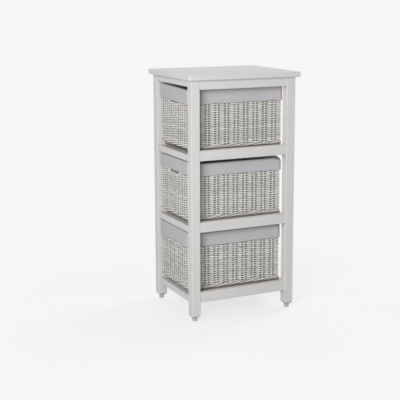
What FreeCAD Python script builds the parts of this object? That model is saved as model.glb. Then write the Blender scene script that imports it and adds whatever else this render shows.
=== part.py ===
"""Basket drawer unit: an open painted-wood frame with three lined wicker baskets that pull out.

The frame stands on the XY plane with its centre on the Z axis and its drawer fronts facing -Y.
Lengths are millimetres. Every size is a cell of the sheet below, and every feature is bound to it.
"""
import FreeCAD, Part
import Sketcher
import os
import re

SIZES = (
    # frame
    ("unit_height", 720, "floor to the top face"),
    ("frame_width", 280, "outer faces of the posts, left to right"),
    ("frame_depth", 336, "outer faces of the posts, front to back"),
    ("post_size", 27, "side of a square post"),
    ("post_taper", 7, "chamfer round the lower end of a post"),
    ("edge_ease", 1.2, "eased edges of posts and rails"),
    ("top_thickness", 15, "top board"),
    ("top_overhang", 11, "top board beyond the posts, all round"),
    ("top_corner", 3, "upright corners of the top board"),
    ("top_ease", 1.5, "eased upper and lower edges of the top board"),
    ("foot_height", 10, "glide under each post"),
    ("foot_diameter", 15, "glide under each post"),
    ("foot_ease", 1.5, "lower edge of a glide"),
    # rails, shelves and runners
    ("rail_thickness", 18, "all rails, across their length"),
    ("rail_inset", 1, "rails behind the outer faces of the posts"),
    ("side_rail_height", 30, "side rails of the three tiers"),
    ("top_side_rail_height", 27, "side rails under the top board"),
    ("cross_rail_height", 19, "front and back rails"),
    ("lowest_rail", 57, "floor to the underside of the lowest side rails"),
    ("upper_tier_saving", 9, "upper tier less high than the other two"),
    ("shelf_thickness", 9, "shelf boards, let into the front and back rails"),
    ("shelf_ledge", 4, "width of the rebates that carry a shelf"),
    ("shelf_gap", 0.5, "shelf edge to posts and rails"),
    ("runner_height", 13, "runners that stand on a shelf and carry a basket"),
    ("runner_width", 18, "runners, across"),
    ("runner_inset", 8.5, "runner inside the outer face of the woven wall"),
    ("runner_setback", 24, "ends of a runner behind the outer faces of the posts"),
    # hidden joints
    ("tenon_length", 11, "tenon of a rail in its post"),
    ("tenon_thickness", 9, "tenon, across the rail"),
    ("tenon_shoulder", 4, "rail above and below its tenon"),
    ("tenon_clearance", 0.1, "tenon to the sides of its mortise"),
    ("tenon_end_gap", 0.5, "glue room at the end of a tenon"),
    ("dowel_diameter", 8, "dowels between the top board and its side rails"),
    ("dowel_in_rail", 16, "dowel below the top board"),
    ("dowel_in_board", 9, "dowel in the top board"),
    ("dowel_spread", 70, "dowels from the middle of the rail"),
    ("dowel_clearance", 0.1, "dowel to the wall of its bore"),
    ("dowel_end_gap", 0.5, "glue room above a dowel"),
    # baskets
    ("basket_side_gap", 6, "woven wall to the posts beside it"),
    ("basket_headroom", 6.7, "lined rim to the front rail above it"),
    ("basket_length", 306, "outer faces of the woven wall, front to back"),
    ("basket_corner", 12, "outer radius of the upright corners"),
    ("wall_thickness", 8, "woven wall, at its stakes"),
    ("rib_depth", 2, "stakes proud of the weave between them"),
    ("rib_width", 10, "pair of stakes with the rods that cross it"),
    ("side_rib_end", 16.7, "round corner to the nearest stakes of a side wall"),
    ("front_rib_end", 32.9, "round corner to the nearest stakes of the front and back walls"),
    ("border_height", 9, "waled border round the foot of a basket"),
    ("border_width", 8, "waled border, across"),
    ("border_swell", 1.5, "border beyond the wall"),
    ("border_ease", 2.5, "sloped outer edges of the border"),
    ("base_thickness", 8, "woven base inside the border"),
    ("base_gap", 0.2, "base to the border"),
    ("handhold_width", 76, "hand-hold through the front wall"),
    ("handhold_height", 23, "hand-hold through the front wall"),
    ("handhold_round", 9, "corners of the hand-hold"),
    ("handhold_depth", 20, "rim to the upper edge of the hand-hold"),
    ("slide_gap", 0.3, "basket above its runners"),
    ("lower_setback", 4, "lower basket wall behind the front faces of the posts"),
    ("middle_setback", 5, "middle basket wall behind the front faces of the posts"),
    ("upper_setback", 7, "upper basket wall behind the front faces of the posts"),
    # liners
    ("cloth", 1.5, "thickness of the liner"),
    ("cloth_ease", 0.5, "liner to the wall that it covers"),
    ("cuff_depth", 40, "liner folded down over the rim"),
    # cutting tools
    ("overrun", 2, "cutters beyond the face that they open"),
)
TIERS = ("lower", "middle", "upper")
SIDE_RIBS = 9
FRONT_RIBS = 5
ENDS = (("left", -1), ("right", 1))
FACES = (("front", -1), ("back", 1))
SLACK_SHARE = 1e-6

FITTED = (
    (
        "tier_pitch",
        f"(unit_height - top_thickness - lowest_rail - side_rail_height + upper_tier_saving) / {len(TIERS)}",
        "from one tier to the next",
    ),
    (
        "basket_width",
        "frame_width - 2 * post_size - 2 * basket_side_gap",
        "outer faces of the woven wall, left to right",
    ),
    (
        "basket_height",
        "tier_pitch - runner_height - cross_rail_height - slide_gap - cloth_ease - cloth - basket_headroom",
        "underside of the border to the rim",
    ),
    (
        "side_rib_pitch",
        f"(basket_length - 2 * basket_corner - 2 * side_rib_end) / ({SIDE_RIBS} - 1)",
        "stakes of a side wall",
    ),
    (
        "front_rib_pitch",
        f"(basket_width - 2 * basket_corner - 2 * front_rib_end) / ({FRONT_RIBS} - 1)",
        "stakes of the front and back walls",
    ),
)

UNDER_TOP = "(unit_height - top_thickness)"
HALF_WIDTH = "(frame_width / 2)"
HALF_DEPTH = "(frame_depth / 2)"
CLEAR_WIDTH = "(frame_width - 2 * post_size)"
CLEAR_DEPTH = "(frame_depth - 2 * post_size)"
RAIL_MIDDLE = "(rail_inset + rail_thickness / 2)"
WALL_INSIDE = "(2 * wall_thickness)"
BAG_OUTSIDE = "(2 * wall_thickness + 2 * cloth_ease)"
BAG_INSIDE = "(2 * wall_thickness + 2 * cloth_ease + 2 * cloth)"
LINER_FLOOR = "(border_height + cloth_ease)"
LINER_HEIGHT = "(basket_height + cloth - border_height)"

document = FreeCAD.newDocument("BasketDrawerUnit")
sheet = document.addObject("Spreadsheet::Sheet", "Sizes")
nodes = []


def fill_sheet():
    """One row per size: its name, its value or formula under that alias, and what it measures."""
    fitted = tuple((name, f"={text}", meaning) for name, text, meaning in FITTED)
    for row, (name, size, meaning) in enumerate(SIZES + fitted, start=1):
        sheet.set(f"A{row}", name)
        sheet.set(f"B{row}", str(size))
        sheet.set(f"C{row}", meaning)
        sheet.setAlias(f"B{row}", name)
    document.recompute()


def formula(text):
    """A formula in size names, with each name pointed at the sheet."""
    return re.sub(r"[a-z_]{2,}", lambda name: f"Sizes.{name.group()}", text)


def bind(target, **formulas):
    """Tie properties of an object to formulas in size names."""
    for name, text in formulas.items():
        target.setExpression(name, formula(text))


def place(target, x="0", y="0", z="0"):
    """Tie the place of an object to formulas in size names."""
    for axis, text in (("x", x), ("y", y), ("z", z)):
        target.setExpression(f".Placement.Base.{axis}", formula(text))


def keep(target, name, solids=1):
    """Register a finished piece under the name of its node."""
    target.Label = name
    nodes.append((name, target, solids))


def new_body(name):
    """An empty body for one piece."""
    return document.addObject("PartDesign::Body", name)


def new_sketch(body, role="XY_Plane", shift="0"):
    """A sketch on one of the body's own planes, shifted along the plane's normal."""
    sketch = body.newObject("Sketcher::SketchObject", "Outline")
    plane = next(item for item in body.Origin.OriginFeatures if item.Role == role)
    sketch.AttachmentSupport = [(plane, "")]
    sketch.MapMode = "FlatFace"
    sketch.setExpression(".AttachmentOffset.Base.z", formula(shift))
    return sketch


def constrain(sketch, kind, *targets, size=None):
    """Add a constraint, tied to a formula where it measures something."""
    if size is None:
        return sketch.addConstraint(Sketcher.Constraint(kind, *targets))
    index = sketch.addConstraint(Sketcher.Constraint(kind, *targets, 1.0))
    sketch.setExpression(f"Constraints[{index}]", formula(size))
    return index


def draw_rectangle(sketch, width, length):
    """A rectangle centred on the sketch's origin."""
    corners = [FreeCAD.Vector(x, y, 0) for x, y in ((-1, -1), (1, -1), (1, 1), (-1, 1))]
    sides = [
        sketch.addGeometry(Part.LineSegment(start, end), False)
        for start, end in zip(corners, corners[1:] + corners[:1])
    ]
    for side, following in zip(sides, sides[1:] + sides[:1]):
        constrain(sketch, "Coincident", side, 2, following, 1)
    for index, side in enumerate(sides):
        constrain(sketch, "Vertical" if index % 2 else "Horizontal", side)
    constrain(sketch, "Symmetric", sides[0], 1, sides[2], 1, -1, 1)
    constrain(sketch, "DistanceX", sides[0], 1, sides[0], 2, size=width)
    constrain(sketch, "DistanceY", sides[1], 1, sides[1], 2, size=length)


def draw_rounded_rectangle(sketch, width, length, radius):
    """A rectangle with equal round corners, centred on the sketch's origin."""
    quarter = FreeCAD.Units.parseQuantity("90 deg").getValueAs("rad").Value
    middles = ((1, -1), (1, 1), (-1, 1), (-1, -1))
    arcs = []
    for turn, (x, y) in enumerate(middles):
        circle = Part.Circle(FreeCAD.Vector(2 * x, 2 * y, 0), FreeCAD.Vector(0, 0, 1), 1)
        arc = Part.ArcOfCircle(circle, (turn - 1) * quarter, turn * quarter)
        arcs.append(sketch.addGeometry(arc, False))
    starts = ((3, -2), (2, 3), (-3, 2), (-2, -3))
    ends = ((3, 2), (-2, 3), (-3, -2), (2, -3))
    sides = [
        sketch.addGeometry(Part.LineSegment(FreeCAD.Vector(*start, 0), FreeCAD.Vector(*end, 0)), False)
        for start, end in zip(starts, ends)
    ]
    for index in range(len(arcs)):
        constrain(sketch, "Tangent", arcs[index], 2, sides[index], 1)
        constrain(sketch, "Tangent", sides[index], 2, arcs[(index + 1) % len(arcs)], 1)
        constrain(sketch, "Horizontal" if index % 2 else "Vertical", sides[index])
    for arc in arcs[1:]:
        constrain(sketch, "Equal", arcs[0], arc)
    constrain(sketch, "Symmetric", arcs[0], 3, arcs[2], 3, -1, 1)
    constrain(sketch, "Radius", arcs[0], size=radius)
    constrain(sketch, "DistanceX", sides[2], 1, sides[0], 1, size=width)
    constrain(sketch, "DistanceY", sides[3], 1, sides[1], 1, size=length)


def pad(body, sketch, height):
    """Raise a sketch into a solid."""
    feature = body.newObject("PartDesign::Pad", "Raise")
    feature.Profile = sketch
    bind(feature, Length=height)
    return feature


def pocket(body, sketch, depth, reverse=False):
    """Sink a sketch into the body's solid."""
    feature = body.newObject("PartDesign::Pocket", "Sink")
    feature.Profile = sketch
    feature.Reversed = reverse
    bind(feature, Length=depth)
    return feature


def edges_along(shape, axis):
    """Names of the straight edges that run along an axis."""
    found = []
    for index, edge in enumerate(shape.Edges, start=1):
        run = edge.Vertexes[-1].Point - edge.Vertexes[0].Point
        straight = isinstance(edge.Curve, Part.Line)
        if straight and run.cross(axis).Length < run.Length * SLACK_SHARE:
            found.append(f"Edge{index}")
    return found


def edges_level(shape, top):
    """Names of the edges that lie in the top or the bottom plane of a solid."""
    level = shape.BoundBox.ZMax if top else shape.BoundBox.ZMin
    flat = shape.BoundBox.DiagonalLength * SLACK_SHARE
    return [
        f"Edge{index}"
        for index, edge in enumerate(shape.Edges, start=1)
        if max(abs(edge.BoundBox.ZMin - level), abs(edge.BoundBox.ZMax - level)) < flat
    ]


def soften(body, feature, edges, size):
    """Chamfer named edges of the body's last feature."""
    finish = body.newObject("PartDesign::Chamfer", "Ease")
    finish.Base = (feature, edges)
    bind(finish, Size=size)
    document.recompute()
    return finish


def make_cylinder(radius, height, x, y, z):
    """An upright cylinder that stands on a point."""
    cylinder = document.addObject("Part::Cylinder", "Round")
    bind(cylinder, Radius=radius, Height=height)
    place(cylinder, x, y, z)
    return cylinder


def make_group(name, members):
    """Separate solids that share one object."""
    group = document.addObject("Part::Compound", name)
    group.Links = members
    return group


def cut_out(name, body, tools):
    """A finished wooden piece: its blank less every tool that reaches it."""
    piece = document.addObject("Part::Cut", name)
    piece.Base = body
    piece.Tool = tools
    keep(piece, name)


def runner_level(tier):
    """Height of a tier's runners, level with the upper edges of its side rails."""
    return f"(lowest_rail + side_rail_height + {tier} * tier_pitch)"


def shelf_level(tier):
    """Height of a tier's shelf, level with the upper edges of its front and back rails."""
    return f"({runner_level(tier)} - runner_height)"


def plan_rails():
    """Every rail as (name, run, clear length, height, x, y, underside, side of its ledge, whether bored)."""
    plan = []
    for tier, level in enumerate(TIERS + ("top",)):
        top = level == "top"
        height = "top_side_rail_height" if top else "side_rail_height"
        foot = f"({UNDER_TOP if top else runner_level(tier)} - {height})"
        for end, sign in ENDS:
            x = f"{sign} * ({HALF_WIDTH} - {RAIL_MIDDLE})"
            plan.append((f"{end}_{level}_rail", "y", CLEAR_DEPTH, height, x, "0", foot, 0, top))
        height = "cross_rail_height"
        foot = f"({UNDER_TOP if top else shelf_level(tier)} - {height})"
        for face, sign in FACES:
            y = f"{sign} * ({HALF_DEPTH} - {RAIL_MIDDLE})"
            ledge = 0 if top else -sign
            plan.append((f"{face}_{level}_rail", "x", CLEAR_WIDTH, height, "0", y, foot, ledge, False))
    return plan


def make_rail(name, run, clear, height, x, y, foot):
    """A rail with its long edges eased and a stub tenon at each end."""
    axis = FreeCAD.Vector(1, 0, 0) if run == "x" else FreeCAD.Vector(0, 1, 0)
    body = new_body(name)
    bar = new_sketch(body)
    reach = f"{clear} + 2 * tenon_length"
    bar_plan = (clear, "rail_thickness")
    tenon_plan = (reach, "tenon_thickness")
    draw_rectangle(bar, *(bar_plan if run == "x" else reversed(bar_plan)))
    raised = pad(body, bar, height)
    document.recompute()
    soften(body, raised, edges_along(raised.Shape, axis), "edge_ease")
    tenons = new_sketch(body, shift="tenon_shoulder")
    draw_rectangle(tenons, *(tenon_plan if run == "x" else reversed(tenon_plan)))
    pad(body, tenons, f"{height} - 2 * tenon_shoulder")
    place(body, x, y, foot)
    return body


def cut_ledge(body, clear, height, side):
    """A rebate along the upper edge of a rail, on one side, for the end of a shelf."""
    ledge = new_sketch(body, shift=height)
    draw_rectangle(ledge, f"{clear} + 2 * overrun", "2 * shelf_ledge")
    ledge.setExpression(".AttachmentOffset.Base.y", formula(f"{side} * rail_thickness / 2"))
    pocket(body, ledge, "shelf_thickness")


def make_mortise(run, clear, height, x, y, foot):
    """The space that a rail's two tenons need in the posts, as one long box."""
    reach = f"({clear} + 2 * tenon_length + 2 * tenon_end_gap)"
    across = "(tenon_thickness + 2 * tenon_clearance)"
    length, width = (reach, across) if run == "x" else (across, reach)
    box = document.addObject("Part::Box", "Mortise")
    bind(box, Length=length, Width=width, Height=f"{height} - 2 * tenon_shoulder + 2 * tenon_clearance")
    place(box, f"{x} - {length} / 2", f"{y} - {width} / 2", f"{foot} + tenon_shoulder - tenon_clearance")
    return box


def make_dowels(bore):
    """Dowels that stand in the top side rails and enter the board, or the bores that take them."""
    radius = "dowel_diameter / 2" + (" + dowel_clearance" if bore else "")
    length = "dowel_in_rail + dowel_in_board" + (" + dowel_end_gap" if bore else "")
    return [
        make_cylinder(
            radius,
            length,
            f"{sign} * ({HALF_WIDTH} - {RAIL_MIDDLE})",
            f"{way} * dowel_spread",
            f"{UNDER_TOP} - dowel_in_rail",
        )
        for end, sign in ENDS
        for way in (-1, 1)
    ]


def make_post(name, x, y):
    """A square post with eased upright edges and a tapered lower end."""
    body = new_body(name)
    sketch = new_sketch(body)
    draw_rectangle(sketch, "post_size", "post_size")
    raised = pad(body, sketch, f"{UNDER_TOP} - foot_height")
    document.recompute()
    tapered = soften(body, raised, edges_level(raised.Shape, top=False), "post_taper")
    soften(body, tapered, edges_along(tapered.Shape, FreeCAD.Vector(0, 0, 1)), "edge_ease")
    place(body, x, y, "foot_height")
    return body


def make_foot(name, x, y):
    """A round glide under a post."""
    body = new_body(name)
    sketch = new_sketch(body)
    circle = Part.Circle(FreeCAD.Vector(), FreeCAD.Vector(0, 0, 1), 1)
    rim = sketch.addGeometry(circle, False)
    constrain(sketch, "Coincident", rim, 3, -1, 1)
    constrain(sketch, "Diameter", rim, size="foot_diameter")
    raised = pad(body, sketch, "foot_height")
    document.recompute()
    soften(body, raised, edges_level(raised.Shape, top=False), "foot_ease")
    place(body, x, y)
    keep(body, name)


def make_top_board(name):
    """The top board with round corners and eased edges."""
    body = new_body(name)
    sketch = new_sketch(body)
    width = "frame_width + 2 * top_overhang"
    length = "frame_depth + 2 * top_overhang"
    draw_rounded_rectangle(sketch, width, length, "top_corner")
    raised = pad(body, sketch, "top_thickness")
    document.recompute()
    rims = edges_level(raised.Shape, top=True) + edges_level(raised.Shape, top=False)
    soften(body, raised, rims, "top_ease")
    place(body, z=UNDER_TOP)
    return body


def make_shelf(name, tier):
    """A shelf board: its middle fills the frame, and its ends reach between the posts onto the ledges."""
    body = new_body(name)
    wide = new_sketch(body)
    between_rails = "- 2 * rail_inset - 2 * rail_thickness - 2 * shelf_gap"
    draw_rectangle(wide, f"frame_width {between_rails}", f"{CLEAR_DEPTH} - 2 * shelf_gap")
    pad(body, wide, "shelf_thickness")
    deep = new_sketch(body)
    draw_rectangle(deep, f"{CLEAR_WIDTH} - 2 * shelf_gap", f"frame_depth {between_rails} + 2 * shelf_ledge")
    pad(body, deep, "shelf_thickness")
    place(body, z=f"{shelf_level(tier)} - shelf_thickness")
    keep(body, name)


def make_runner(name, tier, side):
    """A batten on a shelf, with its upper edges eased, under one side of a basket."""
    body = new_body(name)
    sketch = new_sketch(body)
    draw_rectangle(sketch, "runner_width", "frame_depth - 2 * runner_setback")
    raised = pad(body, sketch, "runner_height")
    document.recompute()
    soften(body, raised, edges_level(raised.Shape, top=True), "edge_ease")
    place(body, x=f"{side} * (basket_width / 2 - runner_inset - runner_width / 2)", z=shelf_level(tier))
    keep(body, name)


def make_frame():
    """Posts, feet, rails, shelves, runners and top, with the joints that hold them."""
    rails = plan_rails()
    mortises = make_group("mortises", [make_mortise(*rail[1:-2]) for rail in rails])
    bores = make_group("bores", make_dowels(bore=True))
    for face, y_sign in (("front", -1), ("rear", 1)):
        for end, x_sign in ENDS:
            x = f"{x_sign} * ({HALF_WIDTH} - post_size / 2)"
            y = f"{y_sign} * ({HALF_DEPTH} - post_size / 2)"
            name = f"{face}_{end}"
            cut_out(f"{name}_post", make_post(f"{name}_post_blank", x, y), mortises)
            make_foot(f"{name}_foot", x, y)
    for name, *rail, ledge, bored in rails:
        if bored:
            cut_out(name, make_rail(f"{name}_blank", *rail), bores)
            continue
        body = make_rail(name, *rail)
        if ledge:
            cut_ledge(body, *rail[1:3], ledge)
        keep(body, name)
    for tier, level in enumerate(TIERS):
        make_shelf(f"{level}_shelf", tier)
        for end, sign in ENDS:
            make_runner(f"{level}_{end}_runner", tier, sign)
    cut_out("top_board", make_top_board("top_board_blank"), bores)
    dowels = make_dowels(bore=False)
    keep(make_group("top_dowels", dowels), "top_dowels", len(dowels))


def add_ribs(body, across, count, pitch, height):
    """A row of stakes on two opposite walls, as slabs that run through the basket from wall to wall."""
    sketch = new_sketch(body)
    plan = ("rib_width", "basket_length") if across == "x" else ("basket_width", "rib_width")
    draw_rectangle(sketch, *plan)
    row = f"({count} - 1) * {pitch}"
    sketch.setExpression(f".AttachmentOffset.Base.{across}", formula(f"-{row} / 2"))
    slab = pad(body, sketch, height)
    ribs = body.newObject("PartDesign::LinearPattern", "Ribs")
    ribs.Originals = [slab]
    ribs.Direction = (sketch, ["H_Axis" if across == "x" else "V_Axis"])
    ribs.Occurrences = count
    bind(ribs, Length=row)


def make_basket_wall(name):
    """The woven wall: a round-cornered tube, ribbed by its stakes, with a hand-hold through its front."""
    body = new_body(name)
    height = "basket_height - border_height"
    weave = new_sketch(body)
    outside = ("basket_width - 2 * rib_depth", "basket_length - 2 * rib_depth", "basket_corner - rib_depth")
    draw_rounded_rectangle(weave, *outside)
    pad(body, weave, height)
    add_ribs(body, "y", SIDE_RIBS, "side_rib_pitch", height)
    add_ribs(body, "x", FRONT_RIBS, "front_rib_pitch", height)
    hollow = new_sketch(body, shift=f"{height} + overrun")
    inside = (f"basket_width - {WALL_INSIDE}", f"basket_length - {WALL_INSIDE}")
    draw_rounded_rectangle(hollow, *inside, "basket_corner - wall_thickness")
    pocket(body, hollow, f"{height} + 2 * overrun")
    eye = new_sketch(body, "XZ_Plane")
    draw_rounded_rectangle(eye, "handhold_width", "handhold_height", "handhold_round")
    middle = "basket_height - border_height - handhold_depth - handhold_height / 2"
    eye.setExpression(".AttachmentOffset.Base.y", formula(middle))
    pocket(body, eye, "basket_length / 2 + overrun", reverse=True)
    return body


def make_basket_border(name):
    """The waled border that the wall stands on."""
    body = new_body(name)
    ring = new_sketch(body)
    outside = "2 * border_swell"
    inside = "2 * (border_width - border_swell)"
    radius = "basket_corner + border_swell"
    draw_rounded_rectangle(ring, f"basket_width + {outside}", f"basket_length + {outside}", radius)
    radius = "basket_corner + border_swell - border_width"
    draw_rounded_rectangle(ring, f"basket_width - {inside}", f"basket_length - {inside}", radius)
    raised = pad(body, ring, "border_height")
    document.recompute()
    outer = [
        edge
        for edge in edges_level(raised.Shape, top=True) + edges_level(raised.Shape, top=False)
        if is_outer(raised.Shape, edge)
    ]
    soften(body, raised, outer, "border_ease")
    return body


def is_outer(shape, edge_name):
    """Whether an edge touches the outside of a shape's plan."""
    box = shape.BoundBox
    edge = shape.getElement(edge_name).BoundBox
    slack = box.DiagonalLength * SLACK_SHARE
    gaps = (edge.XMin - box.XMin, box.XMax - edge.XMax, edge.YMin - box.YMin, box.YMax - edge.YMax)
    return min(gaps) < slack


def make_basket_base(name):
    """The woven base, a flat panel inside the border."""
    body = new_body(name)
    sketch = new_sketch(body)
    inset = "2 * (border_width - border_swell + base_gap)"
    radius = "basket_corner + border_swell - border_width - base_gap"
    draw_rounded_rectangle(sketch, f"basket_width - {inset}", f"basket_length - {inset}", radius)
    pad(body, sketch, "base_thickness")
    return body


def make_liner(name):
    """The cloth liner: a bag inside the wall, folded over the rim into a cuff outside it."""
    body = new_body(name)
    bag = new_sketch(body)
    bag_radius = "basket_corner - wall_thickness - cloth_ease"
    draw_rounded_rectangle(
        bag, f"basket_width - {BAG_OUTSIDE}", f"basket_length - {BAG_OUTSIDE}", bag_radius
    )
    pad(body, bag, LINER_HEIGHT)
    outer = "2 * cloth_ease + 2 * cloth"
    cuff = (f"basket_width + {outer}", f"basket_length + {outer}", "basket_corner + cloth_ease + cloth")
    lip = new_sketch(body, shift=f"{LINER_HEIGHT} - cloth")
    draw_rounded_rectangle(lip, *cuff)
    pad(body, lip, "cloth")
    skirt = new_sketch(body, shift=f"{LINER_HEIGHT} - cuff_depth")
    draw_rounded_rectangle(skirt, *cuff)
    inner = "2 * cloth_ease"
    draw_rounded_rectangle(
        skirt, f"basket_width + {inner}", f"basket_length + {inner}", "basket_corner + cloth_ease"
    )
    pad(body, skirt, "cuff_depth")
    mouth = new_sketch(body, shift=LINER_HEIGHT)
    draw_rounded_rectangle(
        mouth, f"basket_width - {BAG_INSIDE}", f"basket_length - {BAG_INSIDE}", f"{bag_radius} - cloth"
    )
    pocket(body, mouth, f"{LINER_HEIGHT} - cloth")
    return body


def make_baskets():
    """Three like baskets, each pushed in to its own place."""
    for tier, level in enumerate(TIERS):
        y = f"-{HALF_DEPTH} + {level}_setback + basket_length / 2"
        floor = f"({runner_level(tier)} + slide_gap)"
        pieces = (
            ("border", make_basket_border, floor),
            ("base", make_basket_base, floor),
            ("wall", make_basket_wall, f"{floor} + border_height"),
            ("liner", make_liner, f"{floor} + {LINER_FLOOR}"),
        )
        for piece, make, z in pieces:
            name = f"{level}_basket_{piece}"
            body = make(name)
            place(body, y=y, z=z)
            keep(body, name)


def check_all():
    """Stop if anything failed to build."""
    for item in document.Objects:
        if "Invalid" in item.State or "Error" in item.State:
            raise RuntimeError(f"{item.Label} failed to build: {item.State}")
    for name, item, solids in nodes:
        shape = item.Shape
        if shape.isNull() or not shape.isValid() or len(shape.Solids) != solids:
            raise RuntimeError(f"{name} is not {solids} sound solid(s)")


def write_all():
    """One file per node."""
    os.makedirs("parts", exist_ok=True)
    for name, item, solids in nodes:
        item.Shape.exportStep(os.path.join("parts", f"{name}.step"))


fill_sheet()
make_frame()
make_baskets()
document.recompute()
check_all()
write_all()
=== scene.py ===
"""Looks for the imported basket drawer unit: woven baskets, cloth liners, painted wood and a plain stage.

The file is laid out as an add-on and run as a script. Lengths are metres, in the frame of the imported
part: the drawer fronts face -Y, +X is to the right of someone who faces them, and +Z is up.
"""
import math
from types import SimpleNamespace

import bpy
import numpy as np
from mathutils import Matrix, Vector


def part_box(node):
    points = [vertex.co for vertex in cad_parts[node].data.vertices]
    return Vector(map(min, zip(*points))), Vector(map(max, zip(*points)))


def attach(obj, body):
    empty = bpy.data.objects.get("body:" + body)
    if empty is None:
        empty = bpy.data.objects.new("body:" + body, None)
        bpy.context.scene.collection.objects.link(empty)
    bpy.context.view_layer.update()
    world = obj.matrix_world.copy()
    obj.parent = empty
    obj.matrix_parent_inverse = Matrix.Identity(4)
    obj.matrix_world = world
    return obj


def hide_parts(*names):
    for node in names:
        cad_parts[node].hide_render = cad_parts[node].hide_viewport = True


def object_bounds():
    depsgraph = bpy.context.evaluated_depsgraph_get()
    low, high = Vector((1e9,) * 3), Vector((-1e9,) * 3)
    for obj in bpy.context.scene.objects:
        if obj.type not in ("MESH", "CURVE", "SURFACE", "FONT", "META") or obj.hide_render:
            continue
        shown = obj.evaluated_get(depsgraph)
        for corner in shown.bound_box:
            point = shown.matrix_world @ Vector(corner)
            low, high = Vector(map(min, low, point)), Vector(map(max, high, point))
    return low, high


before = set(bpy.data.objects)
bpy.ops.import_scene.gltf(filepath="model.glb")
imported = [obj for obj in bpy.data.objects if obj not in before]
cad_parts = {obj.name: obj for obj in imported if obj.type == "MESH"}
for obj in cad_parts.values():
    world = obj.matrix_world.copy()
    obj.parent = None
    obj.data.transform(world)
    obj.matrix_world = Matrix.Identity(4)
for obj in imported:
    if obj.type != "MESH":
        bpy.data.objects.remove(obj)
CAD_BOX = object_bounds()

bl_info = {
    "name": "Basket Drawer Unit",
    "version": (1, 0, 0),
    "blender": (4, 5, 0),
    "location": "3D View > Sidebar > Drawer Unit",
    "description": "Weaves and lines the baskets of the packed drawer unit, "
    "paints its frame and sets its stage",
    "category": "Object",
}

MM = 0.001
FULL_TURN = 2 * math.pi
UP = np.array((0.0, 0.0, 1.0))
TIERS = ("lower", "middle", "upper")

# Start of each basket's random draws. Its border, base and liner start a little later.
SEEDS = {"lower": 11, "middle": 23, "upper": 37}
BORDER_SEED, BASE_SEED, LINER_SEED = 1, 2, 3

# Rows: where a row's points lie, as shares of the way from a stake to the next, and between which values
# of its cosine it comes out in front of a stake or dives behind one.
ROW_KNOTS = np.array((-0.36, -0.32, -0.27, -0.22, 0.0, 0.22, 0.27, 0.32, 0.36, 0.5))
ROW_RISE = (0.3, 0.7)
ROW_DIVE = (0.43, 0.77)
ROW_REACH = 0.97  # share of the free half of the wall that a row uses
ROW_PRESSED = 0.75  # how much higher a rod gets where it is pressed flat behind a stake
ROW_SIDES = 6

# Slow wavers of the rods, each with its number of waves round the basket or along the stake.
ROW_OUT_WAVES, ROW_OUT = (7, 17, 31), 0.1 * MM
ROW_LEVEL_WAVES, ROW_LEVEL = (5, 13, 29), 0.45 * MM
ROW_SWELL_WAVES, ROW_SWELL = (11, 23, 47), 0.12
STAKE_LEAN_WAVES, STAKE_LEAN = (1, 2), 0.35 * MM

# Stakes: the wash is thinner on their flanks, and their lift changes faster than their depth does, so the
# deep colour there paints the shade where they sink between the rods.
STAKE_FOOT = 2 * MM
STAKE_STEPS, STAKE_SIDES = 14, 8
STAKE_LIFT, STAKE_SHADE_GAIN = 0.45, 2.8
FRONT_FACING = 0.9  # from which a wall counts as the front, where stakes may cross the hand-hold

# Binding of the hand-hold
BINDING_TURN = 3.4 * MM
BINDING_WIDTH = 1.8 * MM
BINDING_PROUD = 0.4 * MM
BINDING_RIB = 0.14  # share of its section that swells between two turns
BINDING_STEPS, BINDING_SIDES = 6, 12
# Between its turns the binding's lift falls, and the deep colour paints the shade of the grooves.
BINDING_LIFT, BINDING_TONE = 0.55, 0.55

# Border and base. A gain is how much the lift changes where a rod stands out of the basket; a low lift paints
# shade with the deep colour.
BORDER_RODS, BORDER_STEPS, BORDER_SIDES = 3, 28, 8
BORDER_LIFT, BORDER_GAIN, BORDER_TONE = 0.45, 0.35, (0.2, 0.8)
BORDER_CROWN = (0.7, 0.97)  # distances from the border's middle line, as shares of its radius
BASE_ROD = 1.7 * MM
BASE_STEPS, BASE_SIDES, BASE_LIFT, BASE_GAIN = 6, 6, 0.75, 0.35
STICK_STEPS, STICK_SIDES, STICK_LIFT = 12, 8, 0.3

# Cloth as it lies in the photo, in millimetres. Pairs are for the left and the right end.
HEM_DROOP = {"lower": (0.6, 0.6), "middle": (-5.8, -5.0), "upper": (-5.5, 2.5)}  # front hem, down
FRONT_RISE = {"lower": (2.4, 2.4), "middle": (2.4, 2.4), "upper": (5.5, -1.5)}  # front fold, up
SIDE_RISE = {"lower": (0.0, 0.0), "middle": (0.0, -4.0), "upper": (5.5, 0.8)}  # other folds, up
CORNER_DIP = {"lower": 1.5, "middle": 7.5, "upper": 1.5}  # fold at the rear right corner, down

# Cut and folds of the cloth
LINER_COLUMNS = 320
FOLD_STEPS = 6
INNER_STEPS = 26
BOTTOM_STEPS, BOTTOM_HOLE = 14, 0.04  # share of the liner's floor that one face closes
DIP_WIDTH = 13 * MM
FRONT_TURN = (0.3, 1.0)  # part of a corner's turn over which the front's slants take over
FOLD_OVER = 0.8  # share of the ease by which the fold stands over the rim
PRESS_HEIGHT = 0.75  # height of the pushed-in cloth, as a share of the hand-hold's
HEM_RAISED = 1.5 * MM
HEM_WAVES, HEM_WAVER = (4, 9, 15), 0.9 * MM
SLACK_WAVES, SLACK_INWARDS, SLACK_FALL = (6, 11, 19), 0.2, 1.3
HEM_END = (0.22, 0.24)  # where the doubled hem ends, as a share of the cuff
SEAM_WIDTH = 0.06
CORE_GAP = 0.3 * MM

# Thread of the cloth
THREAD_PITCH = 0.75 * MM
STITCH_PITCH = 3 * MM
STITCH_WIDTH = 0.7 * MM
STITCH_PLACE = 0.9  # share of the hem at which it is stitched

# Camera: sensor in millimetres, and how far it sees in metres
SENSOR, FAR_END = 36, 200

# Lamps: side and place, in metres
LAMPS = {
    "key": (1.35, (1.93, -1.76, 1.15)),
    "overhead": (1.6, (0.3, -0.1, 2.4)),
    "behind": (1.0, (-0.8, 2.4, 2.2)),
    "fill": (1.6, (-2.1, 0.5, 1.3)),
}

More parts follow.
